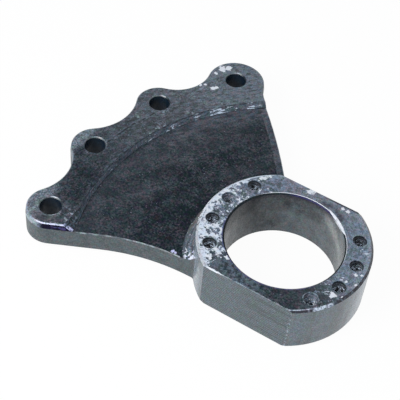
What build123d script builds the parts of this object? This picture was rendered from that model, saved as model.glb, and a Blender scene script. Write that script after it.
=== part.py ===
from build123d import *
import os
from math import cos, radians, sin, sqrt, tan

# Forklift drive axle bracket: one iron casting, machined afterwards.
# A thick ring holds the axle tube, and a fan-shaped web with four lugs bolts to the truck.
# Millimetres, +Z up along the bore, origin on the bore axis at the ring's underside.
# The web spreads towards -X, and the ring's two milled flats run parallel to X.

# Ring
BORE_RADIUS = 50.0
BORE_CHAMFER = 1.5
RING_WALL = 23.5
RING_HEIGHT = 49.0
RIM_CHAMFER = 2.0
ACROSS_FLATS = 122.4

# Tapped holes in the ring's top, drilled to the minor diameter of an M12 thread
TAP_CIRCLE_RADIUS = 62.5
TAP_RADIUS = 5.1
TAP_DEPTH = 24.0
TAP_COUNTERSINK = 1.0
DRILL_POINT_ANGLE = 118.0
TAPS_PER_GROUP = 4
TAP_PITCH_ANGLE = 25.0
WEB_SIDE_TAPS_ANGLE = 181.0
FAR_SIDE_TAPS_ANGLE = 355.5

# Web, and the raised pad that carries the lugs
WEB_UNDERSIDE_HEIGHT = 3.0
WEB_THICKNESS = 20.0
PAD_RISE = 6.0
PAD_INSET = 0.9
EDGE_BREAK = 0.8

# Lugs from front to rear, evenly spaced on an arc, with a hollow between each two
LUG_ARC_CENTRE = (38.7, 5.0)
LUG_ARC_RADIUS = 239.1
LUG_ARC_MIDDLE_ANGLE = 168.2
LUG_PITCH_ANGLE = 19.6
LUG_RADII = (21.5, 22.2, 22.1, 27.7)
REAR_LUG_SETBACK = 1.4
SCALLOP_RADII = (41.0, 45.0, 34.5)
LUG_HOLE_RADIUS = 9.5
LUG_HOLE_CHAMFER = 1.0

# Step between the raised pad and the recessed face of the web
STEP_CENTRE = (25.6, -0.7)
STEP_FOOT_RADIUS = 198.4
STEP_RUN = 2.2

# Slanting facet that takes off the pad's corner where the step meets the front edge
CORNER_ALONG_EDGE = 8.5
CORNER_ALONG_STEP = 20.0
CORNER_SETBACK = 2.5

# Front edge of the web: straight from the first lug, then a long hollow into the ring
FRONT_EDGE_ANGLE = 26.5
FRONT_HOLLOW_RADIUS = 184.0
FRONT_HOLLOW_OFFSET = 46.9
FRONT_CORNER_RADIUS = 5.0

# Rear edge of the web: a long shallow curve from the rear flat, then a hollow into the last lug
REAR_EDGE_START_X = -26.9
REAR_EDGE_START_ANGLE = 124.0
REAR_EDGE_RADIUS = 669.0
REAR_HOLLOW_RADIUS = 44.0
REAR_CORNER_RADIUS = 12.0

# Cast fillet between the ring's wall and the face of the web
ROOT_FILLET_RADIUS = 11.4

# How far a cutting body passes the surface that it cuts
CUT_CLEARANCE = 5.0

RING_RADIUS = BORE_RADIUS + RING_WALL
FLAT_OFFSET = ACROSS_FLATS / 2
WEB_FACE_HEIGHT = WEB_UNDERSIDE_HEIGHT + WEB_THICKNESS
PAD_FACE_HEIGHT = WEB_FACE_HEIGHT + PAD_RISE
ORIGIN = Vector(0, 0)


def direction(angle):
    """Unit vector in the plan at an angle in degrees."""
    return Vector(cos(radians(angle)), sin(radians(angle)))


def left_of(vector):
    """The vector turned a quarter turn to the left."""
    return Vector(-vector.Y, vector.X)


def meeting_point(first, first_distance, second, second_distance):
    """Point at two distances from two points, to the left of the way from first to second."""
    way = second - first
    along = (first_distance ** 2 - second_distance ** 2 + way.length ** 2) / (2 * way.length)
    aside = sqrt(first_distance ** 2 - along ** 2)
    return first + way.normalized() * along + left_of(way).normalized() * aside


def hollow_between(first, second, radius):
    """Circle of a hollow that touches two round shapes from outside, on their left."""
    centre = meeting_point(first[0], first[1] + radius, second[0], second[1] + radius)
    return centre, radius


def touch_point(first, second):
    """Where two touching circles meet. If one lies inside the other, the larger is first."""
    return first[0] + (second[0] - first[0]).normalized() * first[1]


def arc_about(circle, start, end, side):
    """Arc of a circle from start to end, bulging to the left (1) or right (-1) of the chord."""
    bulge = left_of(end - start).normalized() * side
    return ThreePointArc(start, circle[0] + bulge * circle[1], end)


def lug_hole_centres():
    """Centres of the lug holes, from the front lug to the rear one."""
    lugs = len(LUG_RADII)
    first_angle = LUG_ARC_MIDDLE_ANGLE + LUG_PITCH_ANGLE * (lugs - 1) / 2
    centre = Vector(*LUG_ARC_CENTRE)
    angles = [first_angle - LUG_PITCH_ANGLE * i for i in range(lugs)]
    return [centre + direction(angle) * LUG_ARC_RADIUS for angle in angles]


def lug_circles():
    """Rounded ends of the lugs. The rear one is set back a little from its hole."""
    centres = lug_hole_centres()
    inwards = (Vector(*LUG_ARC_CENTRE) - centres[-1]).normalized()
    centres[-1] += inwards * REAR_LUG_SETBACK
    return list(zip(centres, LUG_RADII))


def front_edges(first_lug):
    """Web's edge from the ring to the first lug: corner, long hollow and straight run."""
    outwards = direction(FRONT_EDGE_ANGLE - 90)
    line_end = first_lug[0] + outwards * first_lug[1]
    centre_y = -FRONT_HOLLOW_OFFSET - FRONT_HOLLOW_RADIUS
    reach = line_end.dot(outwards) + FRONT_HOLLOW_RADIUS
    hollow = (Vector((reach - centre_y * outwards.Y) / outwards.X, centre_y), FRONT_HOLLOW_RADIUS)
    line_start = hollow[0] - outwards * hollow[1]
    corner_centre = meeting_point(
        hollow[0],
        FRONT_HOLLOW_RADIUS - FRONT_CORNER_RADIUS,
        ORIGIN,
        RING_RADIUS + FRONT_CORNER_RADIUS,
    )
    corner = (corner_centre, FRONT_CORNER_RADIUS)
    ring_point = touch_point((ORIGIN, RING_RADIUS), corner)
    corner_end = touch_point(hollow, corner)
    return [
        arc_about(corner, ring_point, corner_end, -1),
        arc_about(hollow, corner_end, line_start, -1),
        Line(line_start, line_end),
    ]


def rear_rounds(last_lug):
    """Circles along the web's rear edge: hollow, long shallow curve and corner at the flat."""
    start = Vector(REAR_EDGE_START_X, FLAT_OFFSET)
    edge_centre = start + left_of(direction(REAR_EDGE_START_ANGLE)) * REAR_EDGE_RADIUS
    edge = (edge_centre, REAR_EDGE_RADIUS)
    corner_y = FLAT_OFFSET + REAR_CORNER_RADIUS
    corner_reach = REAR_EDGE_RADIUS + REAR_CORNER_RADIUS
    corner_x = edge_centre.X + sqrt(corner_reach ** 2 - (corner_y - edge_centre.Y) ** 2)
    corner = (Vector(corner_x, corner_y), REAR_CORNER_RADIUS)
    return [hollow_between(last_lug, edge, REAR_HOLLOW_RADIUS), edge, corner]


def web_face():
    """Plan of the web and its lugs, closed through the middle of the ring."""
    lugs = lug_circles()
    rounds = [lugs[0]]
    for i, radius in enumerate(SCALLOP_RADII):
        rounds.append(hollow_between(lugs[i], lugs[i + 1], radius))
        rounds.append(lugs[i + 1])
    rounds += rear_rounds(lugs[-1])
    edges = front_edges(lugs[0])
    points = [edges[-1] @ 1]
    points += [touch_point(a, b) for a, b in zip(rounds, rounds[1:])]
    points.append(Vector(rounds[-1][0].X, FLAT_OFFSET))
    for i, circle in enumerate(rounds):
        side = 1 if i % 2 == 0 else -1
        edges.append(arc_about(circle, points[i], points[i + 1], side))
    edges.append(Polyline(points[-1], ORIGIN, edges[0] @ 0))
    return make_face(edges)


def plate(face, top):
    """Web's plan extruded from its underside to a height, with the lower edge broken."""
    body = extrude(Pos(0, 0, WEB_UNDERSIDE_HEIGHT) * face, top - WEB_UNDERSIDE_HEIGHT)
    return chamfer(body.edges().group_by(Axis.Z)[0], EDGE_BREAK)


def web_plate(face):
    """Web up to its recessed face, with the upper edge broken."""
    body = plate(face, WEB_FACE_HEIGHT)
    return chamfer(body.edges().group_by(Axis.Z)[-1], EDGE_BREAK)


def pad_plate(face):
    """Raised pad, whose wall leans in above the web's face and ends in a broken edge."""
    body = plate(face, PAD_FACE_HEIGHT)
    top = body.faces().sort_by(Axis.Z)[-1]
    body = chamfer(top.edges(), PAD_INSET, PAD_RISE, reference=top)
    body = chamfer(body.faces().sort_by(Axis.Z)[-1].edges(), EDGE_BREAK)
    return body - step_cutter() - corner_cutter()


def turned(points):
    """Solid turned about Z from a closed outline of (radius, height) points."""
    return revolve(Plane.XZ * make_face(Polyline(*points, close=True)), Axis.Z)


def step_cutter():
    """Body inside the step: a cone above the web's face and a cylinder below it."""
    below = WEB_UNDERSIDE_HEIGHT - CUT_CLEARANCE
    above = PAD_FACE_HEIGHT + CUT_CLEARANCE
    top_radius = STEP_FOOT_RADIUS + STEP_RUN * (above - WEB_FACE_HEIGHT) / PAD_RISE
    profile = [
        (0, below),
        (STEP_FOOT_RADIUS, below),
        (STEP_FOOT_RADIUS, WEB_FACE_HEIGHT),
        (top_radius, above),
        (0, above),
    ]
    return Pos(*STEP_CENTRE) * turned(profile)


def corner_cutter():
    """Body above the slanting facet at the pad's front corner."""
    lug_centre, lug_radius = lug_circles()[0]
    along = direction(FRONT_EDGE_ANGLE)
    outwards = -left_of(along)
    step_centre = Vector(*STEP_CENTRE)
    step_radius = STEP_FOOT_RADIUS + STEP_RUN
    offset = (lug_centre - step_centre).dot(outwards) + lug_radius
    reach = sqrt(step_radius ** 2 - offset ** 2)
    corner = step_centre + outwards * offset - along * reach + Vector(0, 0, PAD_FACE_HEIGHT)
    rearwards = left_of(step_centre - corner).normalized()
    on_edge = corner - along * CORNER_ALONG_EDGE
    on_step = corner + rearwards * CORNER_ALONG_STEP
    at_foot = corner + along * (STEP_RUN - CORNER_SETBACK) - Vector(0, 0, PAD_RISE)
    upwards = (at_foot - on_edge).cross(on_step - on_edge)
    facet = Plane(origin=on_edge, x_dir=on_step - on_edge, z_dir=upwards)
    size = 4 * CORNER_ALONG_STEP
    lowest = (Align.CENTER, Align.CENTER, Align.MIN)
    above_facet = facet * Box(size, size, size, align=lowest)
    above_web = Pos(corner.X, corner.Y, WEB_FACE_HEIGHT) * Box(size, size, size, align=lowest)
    return above_facet & above_web


def ring_blank():
    """Ring before its flats and bore are cut, turned with a chamfer at each rim."""
    shoulder = RING_RADIUS - RIM_CHAMFER
    return turned([
        (0, 0),
        (shoulder, 0),
        (RING_RADIUS, RIM_CHAMFER),
        (RING_RADIUS, RING_HEIGHT - RIM_CHAMFER),
        (shoulder, RING_HEIGHT),
        (0, RING_HEIGHT),
    ])


def root_fillet(face):
    """Fillet round the ring on the web's face, cut off flush with the web's edges."""
    buried = 2 * EDGE_BREAK
    inner = RING_RADIUS - buried
    outer = RING_RADIUS + ROOT_FILLET_RADIUS
    top = WEB_FACE_HEIGHT + ROOT_FILLET_RADIUS
    bottom = WEB_FACE_HEIGHT - buried
    diagonal = ROOT_FILLET_RADIUS * sin(radians(45))
    hollow = ThreePointArc(
        (outer, WEB_FACE_HEIGHT),
        (outer - diagonal, top - diagonal),
        (RING_RADIUS, top),
    )
    sides = Polyline(
        (RING_RADIUS, top),
        (inner, top),
        (inner, bottom),
        (outer, bottom),
        (outer, WEB_FACE_HEIGHT),
    )
    fillet_ring = revolve(Plane.XZ * make_face([hollow, sides]), Axis.Z)
    web_column = extrude(Pos(0, 0, WEB_UNDERSIDE_HEIGHT) * face, RING_HEIGHT)
    return fillet_ring & web_column


def between_flats():
    """Block as wide as the flats, which the milled ring keeps."""
    length = 2 * (RING_RADIUS + ROOT_FILLET_RADIUS + CUT_CLEARANCE)
    height = RING_HEIGHT + 2 * CUT_CLEARANCE
    return Pos(0, 0, RING_HEIGHT / 2) * Box(length, ACROSS_FLATS, height)


def main_bore():
    """Cutter of the main bore, with a chamfer at the ring's top."""
    top = RING_HEIGHT + CUT_CLEARANCE
    return turned([
        (0, -CUT_CLEARANCE),
        (BORE_RADIUS, -CUT_CLEARANCE),
        (BORE_RADIUS, RING_HEIGHT - BORE_CHAMFER),
        (BORE_RADIUS + BORE_CHAMFER + CUT_CLEARANCE, top),
        (0, top),
    ])


def lug_hole():
    """Cutter of one lug hole, with a chamfer at each face."""
    flare = LUG_HOLE_RADIUS + LUG_HOLE_CHAMFER + CUT_CLEARANCE
    return turned([
        (0, WEB_UNDERSIDE_HEIGHT - CUT_CLEARANCE),
        (flare, WEB_UNDERSIDE_HEIGHT - CUT_CLEARANCE),
        (LUG_HOLE_RADIUS, WEB_UNDERSIDE_HEIGHT + LUG_HOLE_CHAMFER),
        (LUG_HOLE_RADIUS, PAD_FACE_HEIGHT - LUG_HOLE_CHAMFER),
        (flare, PAD_FACE_HEIGHT + CUT_CLEARANCE),
        (0, PAD_FACE_HEIGHT + CUT_CLEARANCE),
    ])


def tapped_hole():
    """Cutter of one blind hole in the ring's top, with a countersink and the drill's point."""
    floor = RING_HEIGHT - TAP_DEPTH
    point = floor - TAP_RADIUS / tan(radians(DRILL_POINT_ANGLE / 2))
    return turned([
        (0, point),
        (TAP_RADIUS, floor),
        (TAP_RADIUS, RING_HEIGHT - TAP_COUNTERSINK),
        (TAP_RADIUS + TAP_COUNTERSINK + CUT_CLEARANCE, RING_HEIGHT + CUT_CLEARANCE),
        (0, RING_HEIGHT + CUT_CLEARANCE),
    ])


def tap_centres():
    """Centres of the tapped holes: one group faces the web and one faces away from it."""
    offsets = [TAP_PITCH_ANGLE * (i - (TAPS_PER_GROUP - 1) / 2) for i in range(TAPS_PER_GROUP)]
    middles = (WEB_SIDE_TAPS_ANGLE, FAR_SIDE_TAPS_ANGLE)
    return [direction(middle + offset) * TAP_CIRCLE_RADIUS for middle in middles for offset in offsets]


def bracket():
    """The whole casting after machining."""
    face = web_face()
    ring = (ring_blank() + root_fillet(face)) & between_flats()
    body = ring + web_plate(face) + pad_plate(face)
    body -= main_bore()
    body -= [Pos(centre) * lug_hole() for centre in lug_hole_centres()]
    body -= [Pos(centre) * tapped_hole() for centre in tap_centres()]
    return body.clean()


os.makedirs("parts", exist_ok=True)
export_step(bracket(), "parts/bracket.step")
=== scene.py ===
from math import cos, hypot, pi, radians, sin

import bmesh
import bpy
from mathutils import Matrix, Vector

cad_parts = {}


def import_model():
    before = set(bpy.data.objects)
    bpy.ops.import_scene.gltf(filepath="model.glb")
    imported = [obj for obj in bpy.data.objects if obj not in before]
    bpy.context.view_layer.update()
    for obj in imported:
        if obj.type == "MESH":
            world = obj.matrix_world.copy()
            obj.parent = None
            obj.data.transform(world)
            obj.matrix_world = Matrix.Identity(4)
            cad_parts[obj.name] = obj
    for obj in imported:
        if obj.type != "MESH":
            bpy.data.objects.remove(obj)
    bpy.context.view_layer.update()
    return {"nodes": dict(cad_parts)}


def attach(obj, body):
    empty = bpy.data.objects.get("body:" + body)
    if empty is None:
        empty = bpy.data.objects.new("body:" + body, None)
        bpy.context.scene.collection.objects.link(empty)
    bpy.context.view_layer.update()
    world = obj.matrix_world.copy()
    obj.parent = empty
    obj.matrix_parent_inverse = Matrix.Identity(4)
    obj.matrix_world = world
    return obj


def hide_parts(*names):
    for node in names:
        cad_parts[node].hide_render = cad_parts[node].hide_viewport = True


# Looks of the forklift drive axle bracket: one painted iron casting with machined faces.
# Metres and degrees: +Z up along the bore, the web spreads towards -X.

# Sizes of the bracket that its finishes follow
AXIS = (0, 0)
RING_RADIUS = 0.0735
RING_TOP = 0.049
BORE_RADIUS = 0.05
BORE_CHAMFER = 0.0015
FLAT_OFFSET = 0.0612
WEB_FACE = 0.023
PAD_FACE = 0.029
FILLET_RADIUS = 0.0114
STEP_CENTRE = (0.0256, -0.0007)
STEP_RADIUS = 0.1984
STEP_RUN = 0.0022
STEP_TOP_RADIUS = STEP_RADIUS + STEP_RUN
REAR_EDGE_CENTRE = (-0.5815, -0.3129)
REAR_EDGE_RADIUS = 0.669
FRONT_EDGE_ANGLE = 26.5
FRONT_EDGE_INSET = 0.0027
LUG_ARC_CENTRE = (0.0387, 0.005)
LUG_ARC_RADIUS = 0.2391
LUG_ANGLES = (197.6, 178, 158.4, 138.8)
LUG_HOLE_RADIUS = 0.0095
LUG_HOLE_CHAMFER = 0.001
TAP_CIRCLE_RADIUS = 0.0625
TAP_ANGLES = (143.5, 168.5, 193.5, 218.5, 318, 343, 8, 33)
TAPS_AT_WEB = 4
TAP_RADIUS = 0.0051
TAP_COUNTERSINK = 0.001
TAP_FLOOR = 0.025

# How closely a face has to match a height, a radius or a direction to take a finish
NEAR_HEIGHT = 0.001
NEAR_RADIUS = 0.0002
RIM_HEIGHT = 0.003
LEVEL = 0.99
DOWNWARDS = -0.9
UPRIGHT = 0.1
SLANTED = 0.5
SLOPING = 0.25

# The pad's worn front corner: it looks this much towards +X and up at least, and lies before this y
CORNER_NORMAL_X = 0.5
CORNER_NORMAL_Z = 0.6
CORNER_Y = -0.05

# Thread in the tapped holes; the ridge's half widths are shares of the pitch, its run-out is in turns
THREAD_PITCH = 0.00175
THREAD_MAJOR_RADIUS = 0.006
THREAD_BOTTOM = 0.0262
THREAD_TOP = 0.0476
THREAD_STEPS = 36
THREAD_BURY = 0.0001
THREAD_ROOT_SHARE = 0.46
THREAD_CREST_SHARE = 0.12
THREAD_RUN_OUT = 0.5

# Witness line that a tool left on the pad: its radius about the step's centre, and its bearings
SCRIBE_RADIUS = 0.2197
SCRIBE_START = -22
SCRIBE_END = -6

# Chips, specks and patches of the paint, and painted glints on the web: x, y and reach in millimetres
PAD_CHIPS = (
    (-160, 168.5, 6.5), (-155.5, 172.6, 5.6), (-161.5, 159.5, 2.8), (-153.2, 139.5, 4),
    (-150.8, 142.5, 3.6), (-161.9, 139.6, 2.6), (-164.5, 136, 2.4),
)
PAD_SPECKS = (
    (-162, 132.4, 2.2), (-161.3, 119.9, 1.8), (-134.9, 126.2, 1.6), (-162.4, 69.8, 2.4),
    (-167, 62.5, 1.8), (-168.1, 54.4, 2), (-173.7, 84.9, 2.4), (-189.2, 65.6, 2.4),
)
PAD_SCUFFS = ((-169, -66, 9), (-163.5, 69, 6), (-152, 99, 4), (-173, 87, 5))
WEB_SMEARS = (
    (-145.8, 74.2, 5), (-137.1, 71.3, 5), (-128.6, 81.5, 5), (-147.9, 58.5, 4),
    (-125.6, 54.5, 4),
)
# Painted glints on the web near its front edge
WEB_GLINTS = ((-78.6, -45.4, 2.5), (-76.4, -45.6, 1.7))
RING_CHIPS = (
    (-7.3, 59.6, 5.5), (24.6, 56.9, 2.6), (30, 56.9, 3.2), (59.1, -28.6, 4.8),
    (65.3, 0, 2.2), (69.8, 2.1, 1.8), (69.8, -9.1, 2.2), (67, -26.7, 2.2),
    (61.8, -10.9, 1.8), (-28.8, -43.3, 4.5),
)
RING_BARE = (
    (-36.7, -41.2, 6), (-46, -29, 4), (-60.3, 19.3, 6), (-39.8, -54.7, 5),
    (-52.1, 7.1, 3), (-51.4, 22.7, 3.5), (-53.7, -35.2, 5.5), (-67.6, 0.2, 3.5),
    (-52.5, 44, 3.5),
)
RING_PAINTED = (
    (-60.7, 30.1, 5.5), (-60.5, 24, 3.5), (-40.5, -45.5, 4), (-40.4, -34.9, 3.5),
    (-62.4, -24.3, 3.5), (-50.5, -27.3, 3.5), (-50.8, -50, 2.5),
)
RING_SCUFFS = (
    (52.8, -12.4, 3), (51.8, -19.8, 3.4), (57.5, -9.5, 2.6), (54, -28, 3),
    (68.5, 8, 3), (63.3, 24.8, 3),
)

# Tapped holes with dirt in them, as places in TAP_ANGLES, and the one with a chalky outline
DIRTY_TAPS = (1, 4)
CHALKY_TAP = 4

# Lug holes from the front: how bright the painted highlight on their rims is towards the light, and how
# pale the rims are all the way round
LUG_GLINTS = (1, 0.15, 0.5, 0.6)
LUG_RIMS = (0.3, 1, 0.2, 0.2)

# Worn noses of the first two lugs: where the wear sets in and is full; and the first lug's front edge:
# where its painted glint sets in and is full
FIRST_NOSE_X = (-0.190, -0.200)
FIRST_NOSE_Y = (-0.040, -0.052)
SECOND_NOSE_X = (-0.207, -0.214)
SECOND_NOSE_Y = (-0.008, 0.004)
FIRST_LUG_GLINT_X = (-0.196, -0.178)

# Painted glints along the step's face: first and last bearing, and how bright
STEP_GLINTS = ((-47.5, -45, 1.1), (-38.4, -33.8, 1.15), (-31, -29.5, 0.5), (-23.6, -21.4, 0.7))

# Sectors of the ring, 0 towards +X: first angle, last angle and softness
REAR_SECTOR = (54, 118, 8)
RUBBED_SECTOR = (-132, -80, 8)
DUSTY_SECTOR = (-14, 130, 8)
FLAKED_SECTOR = (-44, -2, 6)
# Edge of the bore on the ring's top: painted shade on the black lip and a painted highlight on the bright
# lip
BLACK_LIP_SECTOR = (52, 84, 5)
BRIGHT_LIP_SECTOR = (45, 73, 3)
BLUE_LIP_SECTOR = (-170, -36, 8)
SCRAPED_RIM_INSIDE = (-62, -43, 2)
SCRAPED_RIM_WHOLE = (-43, -29, 1)
# Painted highlight along the bore's chamfer: where its thin line runs
THIN_LINE_SECTOR = (4, 140, 14)
BLUE_RIM_SECTOR = (64, 112, 6)
# Outside of the ring: a painted gleam, a painted highlight and a painted shade
WALL_GLEAM = (-14, 14, 12)
WALL_HIGHLIGHT = (-41, -30, 4)
WALL_SHADE = (-26, -13, 3)
WALL_NECK = (-156, -130, 5)
# Bored wall: sectors of painted reflection, painted shade and painted glare
BORE_DARK_SECTOR = (84, 158, 16)
BORE_PALE_SECTOR = (20, 72, 12)
BORE_UPPER_SECTOR = (-10, 34, 6)
BORE_SHADE_SECTOR = (77, 92, 5)
BORE_UPRIGHT_SECTOR = (105, 110, 2.5)
BORE_GLARE_SECTOR = (48, 60, 4)
BORE_BORDER_SECTOR = (76, 104, 8)
STREAK_SECTOR = (38, 73, 7)
UNDER_STREAK_SECTOR = (41, 64, 5)

# Sectors of the ring, 0 towards -X, where the web is
WEB_SIDE = (-50, 52, 14)
SCUFFED_SIDE = (-96, 50, 10)
BARE_SIDE = (14, 52, 5)
BARE_RIM_SIDE = (32, 54, 6)
BORDER_SIDE = (-54, 60, 5)
BRIGHT_RIM_SIDE = (-52, 62, 4)
# Painted shade on the bored wall towards the web
BORE_LEFT_SIDE = (-34, 60, 14)
BORE_SHADED_SIDE = (-116, 60, 8)
DIMMER_FROM = 6
DIMMER_TO = 28

# Cutter marks on the milled flats
MILLING_PITCH = 0.0015
MILLING_LEAN = 24

# Ways that streaks run, from +X
STREAK_TURN = 53
SCRATCH_TURN = 27.554

# Painted reflection on the bored wall, a pale streak that slants up it: where it starts, and its rise for
# each degree
STREAK_ANGLE = 38.7
STREAK_HEIGHT = 0.0223
STREAK_RISE = 0.000506

# Edge wear: its samples, and how open a place is where the wear is full and where it ends
EDGE_SAMPLES = 6
EDGE_FULL = 0.55
EDGE_NONE = 0.95

# Input of a finish that sets how strongly it reflects
GLOSS = "Specular IOR Level"

# Camera, as the photograph was taken
CAMERA_AZIMUTH = 27.554
CAMERA_ELEVATION = 48.323
CAMERA_ROLL = 5.764
CAMERA_DISTANCE = 0.899543
CAMERA_RIGHT = -0.069768
CAMERA_UP = 0.031927
CAMERA_NEAR = 0.01
CAMERA_FAR = 50
SENSOR_WIDTH = 36
FOCAL_LENGTH = 98.57

# Light, room and floor
LIGHT_AIM = (-0.075, 0.045, 0.02)
LIGHT_WAY = (-0.31, -0.75, 0.59)
LIGHT_DISTANCE = 1.4
LIGHT_SIZE = 0.8
LIGHT_POWER = 16
LIGHT_COLOUR = (1, 0.99, 0.97)
ROOM_COLOUR = (0.93, 0.96, 1, 1)
ROOM_STRENGTH = 0.55
FLOOR_RADIUS = 6
FLOOR_SIDES = 96
FLOOR_COLOUR = (0.93, 0.94, 0.95, 1)
FLOOR_ROUGHNESS = 0.9
FLOOR_WHITENESS = 0.96
WHITE = (1, 1, 1, 1)

# Colours, as linear albedo
PAINT_GREEN = (0.003, 0.012, 0.013, 1)
PAINT_VIOLET = (0.008, 0.008, 0.019, 1)
PAINT_BROWN = (0.014, 0.008, 0.01, 1)
PAINT_BLUE = (0.03, 0.028, 0.09, 1)
PAINT_BLACK = (0.008, 0.022, 0.04, 1)
PAINT_GREY = (0.052, 0.063, 0.078, 1)
PAINT_GREY_COOL = (0.03, 0.062, 0.074, 1)
PAINT_GREY_WARM = (0.062, 0.052, 0.074, 1)
PAINT_RUBBED = (0.112, 0.144, 0.182, 1)
PAINT_PINK = (0.155, 0.14, 0.16, 1)
FILLET_BROWN = (0.165, 0.16, 0.158, 1)
RING_GREY = (0.2, 0.24, 0.31, 1)
RING_GREY_DARK = (0.098, 0.118, 0.152, 1)
RING_WALL_DARK = (0.106, 0.13, 0.155, 1)
# Dust, and also the colour of a painted sheen on the ring's outside
DUST_AND_SHEEN = (0.24, 0.28, 0.32, 1)
CAST = (0.044, 0.068, 0.076, 1)
CAST_BROWN = (0.066, 0.062, 0.07, 1)
CAST_DARK = (0.034, 0.045, 0.05, 1)
GROUND = (0.107, 0.129, 0.133, 1)
GROUND_DARK = (0.055, 0.066, 0.076, 1)
STAIN_BROWN = (0.125, 0.115, 0.125, 1)
# Deep violet blue, also the colour of painted glints on the pad's wall
DEEP_VIOLET_BLUE = (0.065, 0.062, 0.17, 1)
BORED = (0.088, 0.106, 0.12, 1)
BORED_DARK = (0.018, 0.024, 0.028, 1)
BORED_BROWN = (0.108, 0.096, 0.094, 1)
BORED_BLUE = (0.082, 0.112, 0.128, 1)
# Painted glare on the bored wall
BORED_GLARE = (0.24, 0.245, 0.245, 1)
# Bare metal colours, which also serve for painted glints, glare and highlights
BARE_AND_GLARE = (0.7, 0.74, 0.81, 1)
BARE_BLUE_AND_GLINT = (0.6, 0.68, 0.8, 1)
BARE_COLD_AND_GLINT = (0.68, 0.8, 0.98, 1)
BARE_VIOLET_AND_GLINT = (0.56, 0.58, 0.86, 1)
BLACK = (0.005, 0.008, 0.013, 1)
BLACK_VIOLET = (0.006, 0.005, 0.016, 1)
SHADED = (0.64, 0.65, 0.67, 1)
TINT_COOL = (0.84, 1.02, 1.14, 1)
TINT_WARM = (1.15, 0.95, 1.02, 1)
TINT_GREEN = (0.88, 1.1, 0.96, 1)

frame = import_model()


def on_circle(radius, angle, centre=AXIS):
    """Point in the plan on a circle, at an angle in degrees."""
    return Vector((centre[0] + radius * cos(radians(angle)), centre[1] + radius * sin(radians(angle))))


lug_centres = [on_circle(LUG_ARC_RADIUS, angle, LUG_ARC_CENTRE) for angle in LUG_ANGLES]
tap_centres = [on_circle(TAP_CIRCLE_RADIUS, angle) for angle in TAP_ANGLES]
web_taps = tap_centres[:TAPS_AT_WEB]


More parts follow.
